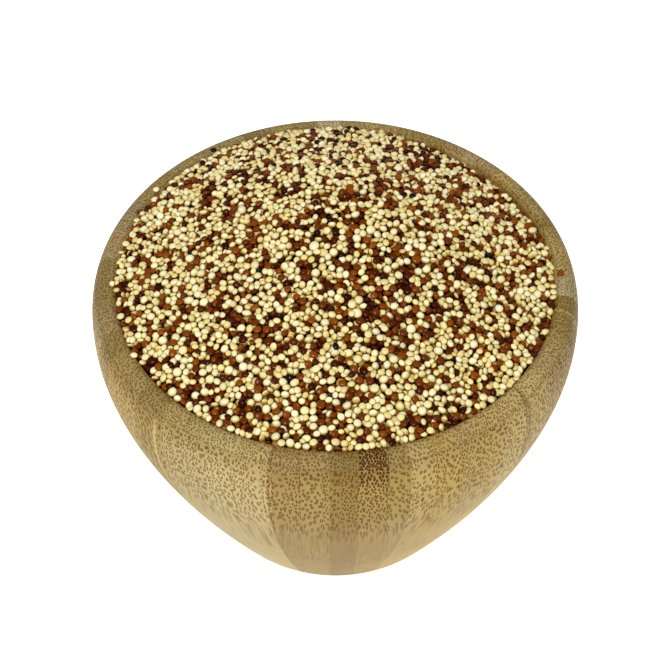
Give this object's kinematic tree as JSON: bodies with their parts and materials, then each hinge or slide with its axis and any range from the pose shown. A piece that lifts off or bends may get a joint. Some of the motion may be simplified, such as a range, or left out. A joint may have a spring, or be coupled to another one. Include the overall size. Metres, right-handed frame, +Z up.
{
  "type": "bowl of quinoa",
  "caption": "Round tapered bamboo bowl on a flat base, heaped above its rim with dry mixed quinoa, white and red.",
  "frame": {"origin": "centre of the bowl's flat base, on the surface that it stands on", "axes": "+Z up along the bowl's axis; -Y faces the viewer"},
  "size_m": [0.12, 0.12, 0.0959],
  "materials": {
    "bamboo": "laminated bamboo strips, fine brown fibre marks, sanded and oiled to a satin",
    "white_quinoa": "dry seed coat, ivory to straw, with a soft sheen",
    "red_quinoa": "dry seed coat, red-brown, with a soft sheen",
    "black_quinoa": "dry seed coat, almost black, with a soft sheen"
  },
  "bodies": {
    "root": {"bowl": "bamboo", "quinoa": "white_quinoa"}
  },
  "joints": []
}
